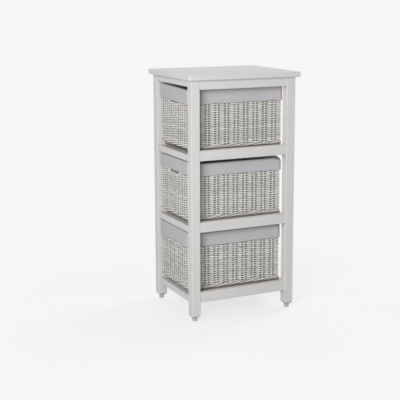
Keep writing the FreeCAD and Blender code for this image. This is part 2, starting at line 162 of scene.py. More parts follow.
# Floor: radius, and over which distances its shadow and its edge fade, in metres
FLOOR_RADIUS, FLOOR_SIDES = 4, 64
SHADOW_FADE = (0.38, 0.9)
EDGE_FADE = (1.3, 3.2)


def tint(red, green, blue):
    """Display values from 0 to 255 as a linear colour."""
    share = np.array((red, green, blue)) / 255
    bright = ((share + 0.055) / 1.055) ** 2.4
    return tuple(np.where(share <= 0.04045, share / 12.92, bright).tolist())


# Settings


def length(name, millimetres, text):
    """A length that a user may change."""
    return bpy.props.FloatProperty(
        name=name, description=text, default=millimetres * MM, unit="LENGTH", precision=5
    )


def colour(name, display, text):
    """A colour that a user may change, given as display values."""
    return bpy.props.FloatVectorProperty(
        name=name, description=text, default=tint(*display), subtype="COLOR", size=3, min=0, max=1
    )


def angle(name, degrees, text):
    """An angle that a user may change."""
    return bpy.props.FloatProperty(
        name=name, description=text, default=math.radians(degrees), subtype="ANGLE"
    )


def factor(name, number, text):
    """A plain number that a user may change."""
    return bpy.props.FloatProperty(name=name, description=text, default=number, min=0)


class WeaveSettings(bpy.types.PropertyGroup):
    """Rods of the baskets"""

    wall: length("Wall", 8, "Thickness of the woven wall")
    corner: length("Corner", 12, "Outer radius of the upright corners")
    rim_cover: length("Rim cover", 9, "Height of bare rim that the cloth covers above the last row")
    row_pitch: length("Row pitch", 3.4, "From one row of weaving to the next")
    rod_height: length("Rod height", 3.15, "Weaving rod, upright")
    rod_depth: length("Rod depth", 2.6, "Weaving rod, through the wall")
    stake_pitch: length("Stake pitch", 31, "From one pair of stakes to the next")
    stake_width: length("Stake width", 5, "Pair of stakes, along the wall")
    stake_depth: length("Stake depth", 2.6, "Pair of stakes, through the wall")
    span_reach: factor("Span reach", 0.3, "Rods between stakes: 0 in the middle of the wall, 1 at its face")
    wale_turn: length("Wale turn", 124, "One turn of the three-rod border")
    wale_rod: length("Wale rod", 4.3, "Rod of the border")
    base_pitch: length("Base pitch", 4, "From one rod of the base to the next")
    base_stick_pitch: length("Base stick pitch", 25, "From one stick of the base to the next")
    hold_width: length("Hand-hold width", 76, "Opening in the front wall")
    hold_height: length("Hand-hold height", 23, "Opening in the front wall")
    hold_round: length("Hand-hold corners", 5.5, "Radius of the opening's corners")
    hold_depth: length("Hand-hold depth", 20, "Rim to the upper edge of the opening")


class LinerSettings(bpy.types.PropertyGroup):
    """Cloth in the baskets"""

    cloth: length("Cloth", 1.1, "Thickness of the cloth")
    ease: length("Ease", 1.3, "Middle of the cloth to the wall")
    cuff: length("Cuff", 39.5, "Cloth folded down over the rim")
    fold: length("Fold", 3, "Radius of the fold over the edges of the rim")
    hem: length("Hem", 9, "Doubled cloth at the edge of the cuff")
    hem_swell: length("Hem swell", 0.25, "Hem proud of the cuff")
    ripple: length("Ripple", 1.0, "Slack waves at the edge of the cuff")
    press: length("Press", 24, "Cloth pushed in behind the hand-hold")


class FinishSettings(bpy.types.PropertyGroup):
    """Colours of the finishes"""

    paint: colour("Paint", (211, 209, 207), "Satin paint on the frame")
    wicker_pale: colour("Pale wicker", (226, 224, 220), "Wash on the raised rods")
    # The deep colour paints the shade in the hollows of the weave, over willow that the wash leaves thinner
    # there.
    wicker_hollow_shade: colour("Deep wicker", (124, 120, 115), "Bare willow in the hollows")
    cloth: colour("Cloth", (188, 185, 189), "Cotton of the liners")
    glide: colour("Glide", (190, 187, 184), "Moulded feet")
    # The runners' colour is darker than the paint: it paints the shade in the gaps under the baskets.
    runner: colour("Runner", (138, 131, 123), "Waxed wood of the runners")
    dowel: colour("Dowel", (206, 176, 132), "Bare beech")


class StageSettings(bpy.types.PropertyGroup):
    """Camera, light and floor"""

    eye: bpy.props.FloatVectorProperty(
        name="Camera", description="Place of the camera", default=(2.61971, -1.28582, 0.9357),
        subtype="TRANSLATION", size=3, precision=4,
    )
    heading: angle("Heading", 64.0681, "Camera's turn from +Y towards -X")
    pitch: angle("Pitch", 11.1227, "Camera's tilt below the horizon")
    lens: bpy.props.FloatProperty(
        name="Lens", description="Focal length for a 36 mm sensor", default=87.725, min=10, unit="CAMERA"
    )
    shift: bpy.props.FloatVectorProperty(
        name="Shift", description="Frame's shift across and up", default=(-0.0488, -0.03), size=2
    )
    backdrop: colour("Backdrop", (246, 246, 246), "Background and floor")
    sky: factor("Sky", 0.33, "Strength of the even light from all sides")
    key: factor("Key", 65.4, "Watts of the soft lamp in front")
    overhead: factor("Overhead", 3.5, "Watts of the soft lamp above")
    behind: factor("Behind", 40, "Watts of the lamp behind, which throws the shadow on the floor")
    fill: factor("Fill", 20, "Watts of the soft lamp at the left side")
    floor_glow: factor("Floor glow", 0.79, "Share of the floor that shows the backdrop's own colour")


class DrawerUnitSettings(bpy.types.PropertyGroup):
    """All settings of the drawer unit"""

    weave: bpy.props.PointerProperty(type=WeaveSettings)
    liner: bpy.props.PointerProperty(type=LinerSettings)
    finish: bpy.props.PointerProperty(type=FinishSettings)
    stage: bpy.props.PointerProperty(type=StageSettings)


# Shader nodes


class Socket:
    """A node's output with arithmetic: each operator adds the Math node that it needs."""

    def __init__(self, shader, output):
        self.shader = shader
        self.output = output

    def math(self, operation, *values):
        """One Math node on values, in the order given."""
        return self.shader.node("ShaderNodeMath", {"operation": operation}, dict(enumerate(values)))

    def __add__(self, other):
        return self.math("ADD", self, other)

    def __sub__(self, other):
        return self.math("SUBTRACT", self, other)

    def __rsub__(self, other):
        return self.math("SUBTRACT", other, self)

    def __mul__(self, other):
        return self.math("MULTIPLY", self, other)

    __radd__ = __add__
    __rmul__ = __mul__

    def sine(self):
        """Sine of this value, in radians."""
        return self.math("SINE", self)

    def size(self):
        """This value without its sign."""
        return self.math("ABSOLUTE", self)

    def most(self, other):
        """The larger of two values."""
        return self.math("MAXIMUM", self, other)

    def step(self, low, high):
        """Smooth rise from 0 at low to 1 at high."""
        return self.shader.node(
            "ShaderNodeMapRange",
            {"interpolation_type": "SMOOTHSTEP"},
            {"Value": self, "From Min": low, "From Max": high, "To Min": 0.0, "To Max": 1.0},
        )

    def band(self, middle, half):
        """1 on a line at middle, falling to 0 at half a width away."""
        return 1 - (self - middle).size().step(0.0, half)


class Shader:
    """The nodes of a material or a sky."""

    def __init__(self, holder):
        self.holder = holder
        holder.use_nodes = True
        self.tree = holder.node_tree
        self.tree.nodes.clear()

    def node(self, kind, settings=None, sockets=None, output=0):
        """Add a node: its settings first, then the values or links of its sockets."""
        made = self.tree.nodes.new(kind)
        for name, value in (settings or {}).items():
            setattr(made, name, value)
        for name, value in (sockets or {}).items():
            if isinstance(value, Socket):
                self.tree.links.new(value.output, made.inputs[name])
            else:
                made.inputs[name].default_value = value
        return Socket(self, made.outputs[output]) if made.outputs else None

    def place(self, scale=(1, 1, 1)):
        """Object coordinates, scaled."""
        here = self.node("ShaderNodeTexCoord", output="Object")
        return self.node("ShaderNodeMapping", None, {"Vector": here, "Scale": scale})

    def along(self, layer):
        """The two coordinates of a UV map, in metres."""
        layout = self.node("ShaderNodeUVMap", {"uv_map": layer})
        first = self.node("ShaderNodeSeparateXYZ", None, {0: layout})
        return first, Socket(self, first.output.node.outputs[1])

    def attribute(self, name):
        """A number that the mesh carries."""
        return self.node("ShaderNodeAttribute", {"attribute_name": name}, output="Fac")

    def noise(self, place, scale, detail=3.0):
        """Even noise round one half."""
        sockets = {"Vector": place, "Scale": scale, "Detail": detail, "Roughness": 0.55}
        return self.node("ShaderNodeTexNoise", None, sockets)

    def vector(self, x, y, z):
        """Three values as one vector."""
        return self.node("ShaderNodeCombineXYZ", None, {0: x, 1: y, 2: z})

    def blend(self, share, first, second):
        """Colours mixed by a share. The Mix node's colours are its inputs 6 and 7 and its output 2."""
        sockets = {0: share, 6: first, 7: second}
        return self.node("ShaderNodeMix", {"data_type": "RGBA"}, sockets, output=2)

    def tones(self, share, base, dark, light):
        """A colour between a darker and a lighter shade of itself, by a share."""
        return self.blend(share, shade(base, dark), shade(base, light))

    def mix(self, share, first, second):
        """Surfaces mixed by a share."""
        return self.node("ShaderNodeMixShader", None, {0: share, 1: first, 2: second})

    def seen(self):
        """1 for a ray from the camera, a gloss or a clear surface, and 0 for other light."""
        camera, gloss, clear = (
            self.node("ShaderNodeLightPath", output=f"Is {source} Ray")
            for source in ("Camera", "Glossy", "Transmission")
        )
        return camera.most(gloss).most(clear)

    def bump(self, height, strength, distance):
        """A normal from a height."""
        sockets = {"Height": height, "Strength": strength, "Distance": distance}
        return self.node("ShaderNodeBump", None, sockets)

    def finish(self, base, roughness, normal, **uniform):
        """Close a material with one Principled shader."""
        sockets = {"Base Color": base, "Roughness": roughness, "Normal": normal}
        sockets.update({name.replace("_", " "): value for name, value in uniform.items()})
        surface = self.node("ShaderNodeBsdfPrincipled", None, sockets)
        self.node("ShaderNodeOutputMaterial", None, {"Surface": surface})
        return self.holder


def new_material(name):
    """An empty material."""
    return Shader(bpy.data.materials.new(name))


def shade(base, share=1.0):
    """A colour made lighter or darker by a share, as four values."""
    return tuple(min(1.0, value * share) for value in base) + (1.0,)


def make_paint(name, grain, settings):
    """Satin paint over close-grained wood: faint grain and brush marks that run along one axis."""
    shader = new_material(name)
    stretch = [1.0, 1.0, 1.0]
    stretch[grain] = 0.035
    streaks = shader.noise(shader.place(stretch), scale=420.0, detail=4.0)
    brush = shader.noise(shader.place(stretch), scale=1500.0, detail=2.0)
    cloud = shader.noise(shader.place(), scale=9.0, detail=2.0)
    tone = streaks * 0.5 + brush * 0.2 + cloud * 0.3
    base = shader.tones(tone.step(0.32, 0.68), settings.finish.paint, dark=0.955, light=1.03)
    normal = shader.bump(streaks * 0.7 + brush * 0.3, strength=0.25, distance=0.3 * MM)
    return shader.finish(base, 0.42 + 0.16 * brush, normal, Specular_IOR_Level=0.4)


def make_wicker(name, settings):
    """Washed willow, streaked along its length: pale where a rod stands out, darker in the hollows, where the
    deep colour paints their shade over a thinner wash.
    """
    shader = new_material(name)
    run, turn = shader.along("Rod")
    lift = shader.attribute("lift")
    tone = shader.attribute("tone")
    streaks = shader.noise(shader.vector(run * 60.0, turn * 9.0, tone * 40.0), scale=1.0)
    patches = shader.noise(shader.place(), scale=55.0)
    wash = tone * 0.5 + streaks * 0.3 + patches * 0.4
    pale = shader.tones(wash.step(0.25, 0.95), settings.finish.wicker_pale, dark=0.8, light=1.06)
    # Below a lift of 0.42 the colour turns to the deep one: painted shade in the hollows.
    base = shader.blend(lift.step(0.42, 0.7), shade(settings.finish.wicker_hollow_shade), pale)
    normal = shader.bump(streaks, strength=0.3, distance=0.4 * MM)
    return shader.finish(base, 0.55 + 0.2 * streaks, normal, Specular_IOR_Level=0.35)


def make_cotton(name, settings, hem):
    """Plain-weave cotton: warp and weft on the cloth's own map, stitched hem and corner seams."""
    shader = new_material(name)
    round_run, down_run = shader.along("Cloth")
    warp = (round_run * (FULL_TURN / THREAD_PITCH)).sine()
    weft = (down_run * (FULL_TURN / THREAD_PITCH)).sine()
    weave = warp * weft * 0.5 + 0.5
    slub = shader.noise(shader.vector(round_run * 90.0, down_run * 700.0, 0.0), scale=1.0, detail=2.0)
    cloud = shader.noise(shader.place(), scale=16.0)
    dashes = (round_run * (FULL_TURN / STITCH_PITCH)).sine().step(-0.2, 0.3)
    stitch = down_run.band(hem, STITCH_WIDTH) * dashes
    seam = shader.attribute("seam")
    tone = weave * 0.22 + slub * 0.4 + cloud * 0.38
    cloth = settings.finish.cloth
    plain = shader.tones(tone.step(0.2, 0.8), cloth, dark=0.93, light=1.06)
    base = shader.blend(stitch * 0.3 + seam * 0.35, plain, shade(cloth, 0.72))
    height = weave * 0.5 + slub * 0.3 - stitch * 0.6 - seam * 0.8
    normal = shader.bump(height, strength=0.35, distance=0.4 * MM)
    return shader.finish(base, 0.86 + 0.1 * slub, normal, Specular_IOR_Level=0.2, Sheen_Weight=0.15)


def make_shaded_runner(name, settings):
    """Wood with open grain along the runner, in a colour darker than the frame's paint that paints the shade
    in the gaps under the baskets.
    """
    shader = new_material(name)
    grain = shader.noise(shader.place((1.0, 0.05, 1.0)), scale=520.0, detail=4.0)
    cloud = shader.noise(shader.place(), scale=24.0, detail=2.0)
    tone = grain * 0.7 + cloud * 0.3
    base = shader.tones(tone.step(0.3, 0.7), settings.finish.runner, dark=0.8, light=1.15)
    normal = shader.bump(grain, strength=0.25, distance=0.3 * MM)
    return shader.finish(base, 0.5 + 0.15 * grain, normal)


def make_glide(name, settings):
    """Moulded plastic with a fine spark-eroded grain."""
    shader = new_material(name)
    grain = shader.noise(shader.place(), scale=2600.0, detail=2.0)
    cloud = shader.noise(shader.place(), scale=120.0, detail=2.0)
    base = shader.tones(cloud.step(0.3, 0.7), settings.finish.glide, dark=0.95, light=1.03)
    normal = shader.bump(grain, strength=0.2, distance=0.2 * MM)
    return shader.finish(base, 0.5 + 0.15 * grain, normal)


def make_beech(name, settings):
    """Bare beech with short flecks along the dowel."""
    shader = new_material(name)
    flecks = shader.noise(shader.place((1.0, 1.0, 0.12)), scale=900.0)
    base = shader.tones(flecks.step(0.35, 0.7), settings.finish.dowel, dark=0.85, light=1.05)
    normal = shader.bump(flecks, strength=0.2, distance=0.3 * MM)
    return shader.finish(base, 0.65 + 0.15 * flecks, normal)


# Surfaces


def smooth(values, low, high):
    """Smooth rise from 0 at low to 1 at high."""
    share = np.clip((values - low) / (high - low), 0, 1)
    return share * share * (3 - 2 * share)


def plan_outline(run, half_width, half_length, radius):
    """Where a run along a rounded rectangle lies, in terms that fit every concentric one.

    The run starts at the middle of the front and goes anticlockwise. Straights and quarter turns
    alternate, and on a turn the heading grows by run over radius. A point is place * core + normal * radius:
    place is on the core, the rectangle of the corner centres, with its corners at plus and minus 1.
    """
    core = np.array((half_width - radius, half_length - radius))
    turn = radius * math.pi / 2
    lengths = np.array([core[0]] + [turn, 2 * core[1], turn, 2 * core[0]] * 2)
    lengths[-1] = core[0]
    ends = np.cumsum(lengths)
    run = np.mod(run, ends[-1])
    part = np.minimum(np.searchsorted(ends, run, side="right"), len(lengths) - 1)
    rest = run - (ends - lengths)[part]
    turning = part % 2 == 1
    heading = part // 2 * math.pi / 2 + np.where(turning, rest / radius, 0.0)
    corners = ((1, -1), (1, 1), (-1, 1), (-1, -1))
    starts = np.array(((0, -1),) + tuple(corner for corner in corners for _ in range(2)), float)
    ahead = np.stack((np.cos(heading), np.sin(heading)), -1)
    place = starts[part] + np.where(turning, 0.0, rest)[..., None] * ahead / core
    normal = np.stack((ahead[..., 1], -ahead[..., 0]), -1)
    return place, normal, core


def outline_length(half_width, half_length, radius):
    """Way round a rounded rectangle: its straights and one full turn."""
    return 4 * (half_width + half_length - 2 * radius) + FULL_TURN * radius


def lift_flat(points, height):
    """Flat points raised to a height."""
    height = np.broadcast_to(height, points.shape[:-1])
    return np.concatenate((points, height[..., None]), -1)


def unit(vectors):
    """Vectors of length one."""
    return vectors / np.linalg.norm(vectors, axis=-1, keepdims=True)


def spread(u, v, shape):
    """Two coordinates over a grid, as pairs."""
    return np.stack((np.broadcast_to(u, shape), np.broadcast_to(v, shape)), -1)


def sweep(centre, first, half_first, half_second, sides, closed):
    """Tubes along many paths at once, as points, quads, end caps and a UV corner grid.

    centre is paths by steps by 3. At each step the tube is the ellipse
    centre + first * half_first * cos(t) + second * half_second * sin(t), where first is made square to the
    path and second is first crossed with the path's direction.
    """
    if closed:
        ahead = np.roll(centre, -1, 1) - np.roll(centre, 1, 1)
    else:
        ahead = np.gradient(centre, axis=1)
    ahead = unit(ahead)
    first = np.broadcast_to(first, centre.shape)
    first = unit(first - (first * ahead).sum(-1, keepdims=True) * ahead)
    second = np.cross(first, ahead)
    t = np.arange(sides) * (FULL_TURN / sides)
    paths, steps = centre.shape[:2]
    wide = np.broadcast_to(half_first, (paths, steps))[..., None, None]
    high = np.broadcast_to(half_second, (paths, steps))[..., None, None]
    points = (
        centre[:, :, None]
        + first[:, :, None] * wide * np.cos(t)[:, None]
        + second[:, :, None] * high * np.sin(t)[:, None]
    )
    index = np.arange(paths * steps * sides).reshape(paths, steps, sides)
    here = index if closed else index[:, :-1]
    there = np.roll(index, -1, 1) if closed else index[:, 1:]
    quads = np.stack((here, there, np.roll(there, -1, 2), np.roll(here, -1, 2)), -1).reshape(-1, 4)
    caps = np.zeros((0, sides), int)
    if not closed:
        caps = np.concatenate((index[:, 0], index[:, -1, ::-1]))
    gaps = np.linalg.norm(np.diff(centre, axis=1, append=centre[:, :1]), axis=-1)
    run = np.concatenate((np.zeros((paths, 1)), np.cumsum(gaps, 1)), 1)[..., None]
    start, end = (run[:, :-1], run[:, 1:]) if closed else (run[:, :-2], run[:, 1:-1])
    low, top = np.arange(sides) / sides, np.arange(1, sides + 1) / sides
    corners = [spread(u, v, here.shape) for u, v in ((start, low), (end, low), (end, top), (start, top))]
    layout = np.stack(corners, -2).reshape(-1, 2)
    return SimpleNamespace(points=points, quads=quads, caps=caps, layout=layout)


def gather(parts):
    """Several sweeps as one, with their indices moved on. Each has a lift and a tone for its points."""
    counts = np.cumsum([0] + [part.points.size // 3 for part in parts])
    faces, layout, lift, tone = [], [], [], []
    for part, first in zip(parts, counts):
        faces += (part.quads + first).tolist() + (part.caps + first).tolist()
        layout += [part.layout, np.zeros((part.caps.size, 2))]
        lift.append(np.broadcast_to(part.lift, part.points.shape[:-1]).ravel())
        tone.append(np.broadcast_to(part.tone, part.points.shape[:-1]).ravel())
    return SimpleNamespace(
        points=np.concatenate([part.points.reshape(-1, 3) for part in parts]),
        faces=faces,
        layout=np.concatenate(layout),
        lift=np.concatenate(lift),
        tone=np.concatenate(tone),
    )


def build(name, points, faces, layer, layout, material, attributes):
    """A mesh object at the origin with one UV map, one material and its attributes, shaded smooth."""
    mesh = bpy.data.meshes.new(name)
    mesh.from_pydata(points.tolist(), [], faces, shade_flat=False)
    mesh.uv_layers.new(name=layer).uv.foreach_set("vector", layout.astype(np.float32).ravel())
    for key, values in attributes.items():
        mesh.attributes.new(key, "FLOAT", "POINT").data.foreach_set("value", values.astype(np.float32))
    mesh.materials.append(material)
    if mesh.validate():
        raise RuntimeError(f"{name} has broken faces")
    made = bpy.data.objects.new(name, mesh)
    bpy.context.scene.collection.objects.link(made)
    return made


def build_rods(name, parts, tier, *nodes):
    """A piece made of rods, which rides on its basket and stands for the solids that it shows."""
    rods = gather(parts)
    made = build(
        name, rods.points, rods.faces, "Rod", rods.layout, bpy.data.materials["willow"],
        {"lift": rods.lift, "tone": rods.tone},
    )
    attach(made, f"{tier}_basket")
    if nodes:
        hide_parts(*nodes)


def measure(tier):
    """Where a basket's solids are."""
    low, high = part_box(f"{tier}_basket_wall")
    return SimpleNamespace(
        half_width=(high.x - low.x) / 2,
        half_length=(high.y - low.y) / 2,
        middle=np.array(((low.x + high.x) / 2, (low.y + high.y) / 2)),
        front=low.y,
        foot=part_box(f"{tier}_basket_border")[0].z,
        wall_foot=low.z,
        rim=high.z,
    )


def wander(run, whole, waves, phases, size):
    """A slow waver along a closed way: the mean of sines that close on themselves, with phases per path."""
    turns = run[..., None] * (FULL_TURN / whole) * np.array(waves)
    return size * np.sin(turns + phases[:, None, :]).mean(-1)


def hold_middle(basket, weave):
    """Height of the middle of the hand-hold."""
    return basket.rim - weave.hold_depth - weave.hold_height / 2


def hold_half(height, basket, weave):
    """Half the width of the hand-hold at a height, 0 above and below it, with its corners rounded.

    In the corner the half width is the straight part plus the root of radius squared less rise squared.
    """
    rise = np.abs(height - hold_middle(basket, weave))
    over = np.maximum(rise - weave.hold_height / 2 + weave.hold_round, 0.0)
    inside = over < weave.hold_round
    bulge = np.sqrt(np.maximum(weave.hold_round**2 - over**2, 0.0))
    return np.where(inside, weave.hold_width / 2 - weave.hold_round + bulge, 0.0)


def lift_of(points, basket, weave):
    """How far points stand out of the woven wall: 0 at its inner face and 1 at its outer face.

    The distance from the core rectangle of the corner centres, less the inner radius, over the thickness.
    """
    core = np.array((basket.half_width - weave.corner, basket.half_length - weave.corner))
    beyond = np.abs(points[..., :2] - basket.middle) - core
    outside = np.linalg.norm(np.maximum(beyond, 0.0), axis=-1)
    return (outside + np.minimum(beyond.max(-1), 0.0) - weave.corner + weave.wall) / weave.wall


def stake_ring(basket, weave):
    """The middle line of the wall, its length, and the even number of stakes on it."""
    inset = weave.wall / 2
    half = (basket.half_width - inset, basket.half_length - inset, weave.corner - inset)
    whole = outline_length(*half)
    return half, whole, 2 * round(whole / weave.stake_pitch / 2)


def weave_rows(tier, weave, basket, random):
    """Rows of rods that pass in front of one pair of stakes and behind the next, and take turns.

    A row follows the middle of the wall and leaves it by reach * wave. With c, a cosine of one half period
    from stake to stake, wave is span + (1 - span) * rise(c) - (1 + span) * dive(-c), where rise and dive are
    smooth steps: 1 in front of a stake, span between stakes and -1 behind one. There the rod is pressed
    flat and stands higher. At the hand-hold a row stops at each side.
    """
    half, whole, stakes = stake_ring(basket, weave)
    pitch = whole / stakes
    reach = (weave.wall - weave.rod_depth) / 2
    rows = int((basket.rim - weave.rim_cover - basket.wall_foot) / weave.row_pitch)
    number = np.arange(rows)
    level = basket.wall_foot + weave.row_pitch * (number + 0.5)
    gap = hold_half(level, basket, weave)
    knots = ((np.arange(stakes)[:, None] + ROW_KNOTS) * pitch).ravel()
    span = weave.span_reach
    parts = []
    for cut in (False, True):
        chosen = (gap > 0) == cut
        count = chosen.sum()
        if cut:
            share = np.linspace(0, 1, len(knots))
            run = gap[chosen, None] + (whole - 2 * gap[chosen, None]) * share
        else:
            run = np.broadcast_to(knots, (count, len(knots)))
        phases = random.uniform(0, FULL_TURN, (count, 3))
        turn = np.where(number[chosen] % 2, -1.0, 1.0)[:, None]
        cosine = turn * np.cos(math.pi * run / pitch)
        dive = smooth(-cosine, *ROW_DIVE)
        wave = span + (1 - span) * smooth(cosine, *ROW_RISE) - (1 + span) * dive
        place, normal, core = plan_outline(run, *half)
        out = half[2] + reach * ROW_REACH * wave + wander(run, whole, ROW_OUT_WAVES, phases, ROW_OUT)
        flat = basket.middle + place * core + normal * out[..., None]
        waver = wander(run, whole, ROW_LEVEL_WAVES, phases[:, ::-1], ROW_LEVEL)
        swell = 1 + wander(run, whole, ROW_SWELL_WAVES, phases * 3, ROW_SWELL)
        tube = sweep(
            lift_flat(flat, level[chosen, None] + waver),
            lift_flat(normal, 0.0),
            weave.rod_depth / 2 * swell,
            weave.rod_height / 2 * swell * (1 + ROW_PRESSED * dive),
            ROW_SIDES,
            closed=not cut,
        )
        # Where a row dives behind a stake its lift falls, and the deep colour paints the shade of the hollow.
        tube.lift = lift_of(tube.points, basket, weave)
        tube.tone = random.uniform(0, 1, (count, 1, 1))
        parts.append(tube)
    build_rods(f"{tier}_weavers", parts, tier, f"{tier}_basket_wall")


def raise_stakes(tier, weave, basket, random):
    """Pairs of upright rods: straight tubes at even steps round the wall, in two lengths at the hand-hold."""
    half, whole, stakes = stake_ring(basket, weave)
    pair = np.array((-1.0, 1.0)) * weave.stake_width / 4
    run = (np.arange(stakes) * (whole / stakes))[:, None] + pair
    place, normal, core = plan_outline(run.ravel(), *half)
    flat = basket.middle + place * core + normal * half[2]
    top = basket.rim - weave.rim_cover
    foot = basket.foot + STAKE_FOOT
    middle = hold_middle(basket, weave)
    crossing = (np.abs(flat[:, 0]) < weave.hold_width / 2) & (normal[:, 1] < -FRONT_FACING)
    spans = (
        (~crossing, foot, top),
        (crossing, foot, middle - weave.hold_height / 2),
        (crossing, middle + weave.hold_height / 2, top),
    )
    parts = []
    for chosen, low, high in spans:
        count = chosen.sum()
        height = np.broadcast_to(np.linspace(low, high, STAKE_STEPS), (count, STAKE_STEPS))
        phases = random.uniform(0, FULL_TURN, (count, len(STAKE_LEAN_WAVES)))
        lean = wander(height, high - low, STAKE_LEAN_WAVES, phases, STAKE_LEAN)
        tangent = np.stack((-normal[chosen, 1], normal[chosen, 0]), -1)
        path = flat[chosen, None] + tangent[:, None] * lean[..., None]
        tube = sweep(
            lift_flat(path, height),
            lift_flat(normal[chosen], 0.0)[:, None],
            weave.stake_depth / 2,
            weave.stake_width / 4,
            STAKE_SIDES,
            closed=False,
        )
        # The flanks get a low lift and the deep colour: painted shade beside the rods.
        tube.lift = STAKE_LIFT + STAKE_SHADE_GAIN * (lift_of(tube.points, basket, weave) - 0.5)
        tube.tone = random.uniform(0, 1, (count, 1, 1))
        parts.append(tube)
    build_rods(f"{tier}_stakes", parts, tier)


def weave_wall(tier, weave):
    """The woven wall: its rows, then its stakes."""
    basket = measure(tier)
    random = np.random.default_rng(SEEDS[tier])
    weave_rows(tier, weave, basket, random)
    raise_stakes(tier, weave, basket, random)


def bind_handhold(tier, weave):
    """The bound edge of the hand-hold: an oval tube round the opening, ribbed by the turns of a wrapped rod.

    Its section swells by a rectified sine of the way round, one rib per turn of the wrapping.
    """
    basket = measure(tier)
    half = (weave.hold_width / 2, weave.hold_height / 2, weave.hold_round)
    whole = outline_length(*half)
    turns = round(whole / BINDING_TURN)
    steps = turns * BINDING_STEPS
    run = np.arange(steps)[None] * (whole / steps)
    place, normal, core = plan_outline(run, *half)
    flat = place * core + normal * half[2]
    depth = np.full(run.shape, basket.front + weave.wall / 2)
    across = basket.middle[0] + flat[..., 0]
    path = np.stack((across, depth, hold_middle(basket, weave) + flat[..., 1]), -1)
    first = np.stack((normal[..., 0], np.zeros_like(depth), normal[..., 1]), -1)
    swell = np.abs(np.sin(math.pi * run * turns / whole))
    rib = 1 - BINDING_RIB + BINDING_RIB * swell
    deep = weave.wall / 2 + BINDING_PROUD
    tube = sweep(path, first, BINDING_WIDTH * rib, deep * rib, BINDING_SIDES, closed=True)
    # The grooves between turns take the deep colour: painted shade.
    tube.lift = BINDING_LIFT + (1 - BINDING_LIFT) * swell[..., None]
    tube.tone = BINDING_TONE
    build_rods(f"{tier}_handhold_binding", [tube], tier)


def wale_border(tier, weave):
    """The border round the foot: three rods laid as a rope.

    Each rod's centre turns round the border's middle line by 2 pi over one turn's length, a third of a turn
    apart. A point's distance from that line gives its lift.
    """
    basket = measure(tier)
    low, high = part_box(f"{tier}_basket_border")
    random = np.random.default_rng(SEEDS[tier] + BORDER_SEED)
    radius = (high.z - low.z) / 2
    inset = radius - (high.x - (basket.middle[0] + basket.half_width))
    half = (basket.half_width - inset, basket.half_length - inset, weave.corner - inset)
    whole = outline_length(*half)
    turns = round(whole / weave.wale_turn)
    steps = turns * BORDER_STEPS
    run = np.broadcast_to(np.arange(steps) * (whole / steps), (BORDER_RODS, steps))
    apart = np.arange(BORDER_RODS) * (FULL_TURN / BORDER_RODS)
    phase = run * (FULL_TURN * turns / whole) + apart[:, None]
    rod = weave.wale_rod / 2
    orbit = radius - rod
    place, normal, core = plan_outline(run, *half)
    out = half[2] + orbit * np.cos(phase)
    flat = basket.middle + place * core + normal * out[..., None]
    height = (low.z + high.z) / 2 + orbit * np.sin(phase)
    tube = sweep(lift_flat(flat, height), lift_flat(normal, 0.0), rod, rod, BORDER_SIDES, closed=True)
    around = np.arange(BORDER_SIDES) * (FULL_TURN / BORDER_SIDES)
    away = np.sqrt(orbit**2 + rod**2 + 2 * orbit * rod * np.cos(phase[..., None] - around))
    # The rope's crevices get a low lift and the deep colour: painted shade.
    tube.lift = BORDER_LIFT + BORDER_GAIN * smooth(away / radius, *BORDER_CROWN)
    tube.tone = random.uniform(*BORDER_TONE, (BORDER_RODS, 1, 1))
    build_rods(f"{tier}_wale", [tube], tier, f"{tier}_basket_border")


def weave_base(tier, weave):
    """The base: rods from side to side that rise and dip over lengthwise sticks by a cosine, turn about."""
    low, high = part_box(f"{tier}_basket_base")
    random = np.random.default_rng(SEEDS[tier] + BASE_SEED)
    middle = (low.z + high.z) / 2
    sticks = int((high.x - low.x) / weave.base_stick_pitch)
    pitch = (high.x - low.x) / sticks
    rows = int((high.y - low.y) / weave.base_pitch)
    steps = sticks * BASE_STEPS + 1
    x = np.broadcast_to(np.linspace(low.x, high.x, steps), (rows, steps))
    y = low.y + (high.y - low.y) * (np.arange(rows) + 0.5) / rows
    turn = np.where(np.arange(rows) % 2, -1.0, 1.0)[:, None]
    wave = np.cos(math.pi * ((x - low.x) / pitch - 0.5)) * turn
    z = middle + ((high.z - low.z) / 2 - BASE_ROD) * wave
    path = np.stack((x, np.broadcast_to(y[:, None], x.shape), z), -1)
    tube = sweep(path, UP, BASE_ROD, BASE_ROD, BASE_SIDES, closed=False)
    # Where a rod rises inwards over a stick its lift falls and the deep colour paints its shade.
    tube.lift = BASE_LIFT - BASE_GAIN * wave[..., None]
    tube.tone = random.uniform(0, 1, (rows, 1, 1))
    stick_x = low.x + pitch * (np.arange(sticks) + 0.5)
    stick_y = np.broadcast_to(np.linspace(low.y, high.y, STICK_STEPS), (sticks, STICK_STEPS))
    stick_x = np.broadcast_to(stick_x[:, None], stick_y.shape)
    path = np.stack((stick_x, stick_y, np.full_like(stick_y, middle)), -1)
    spine = sweep(path, UP, BASE_ROD / 2, 2 * BASE_ROD, STICK_SIDES, closed=False)
    # The sticks lie between the rods and take the deep colour: painted shade.
    spine.lift = STICK_LIFT
    spine.tone = random.uniform(0, 1, (sticks, 1, 1))
    build_rods(f"{tier}_base_weave", [tube, spine], tier, f"{tier}_basket_base")


def slant(ends, across):
    """A straight slope from one height at the left side to another at the right, given in millimetres."""
    return (ends[0] + (ends[1] - ends[0]) * (across + 1) / 2) * MM


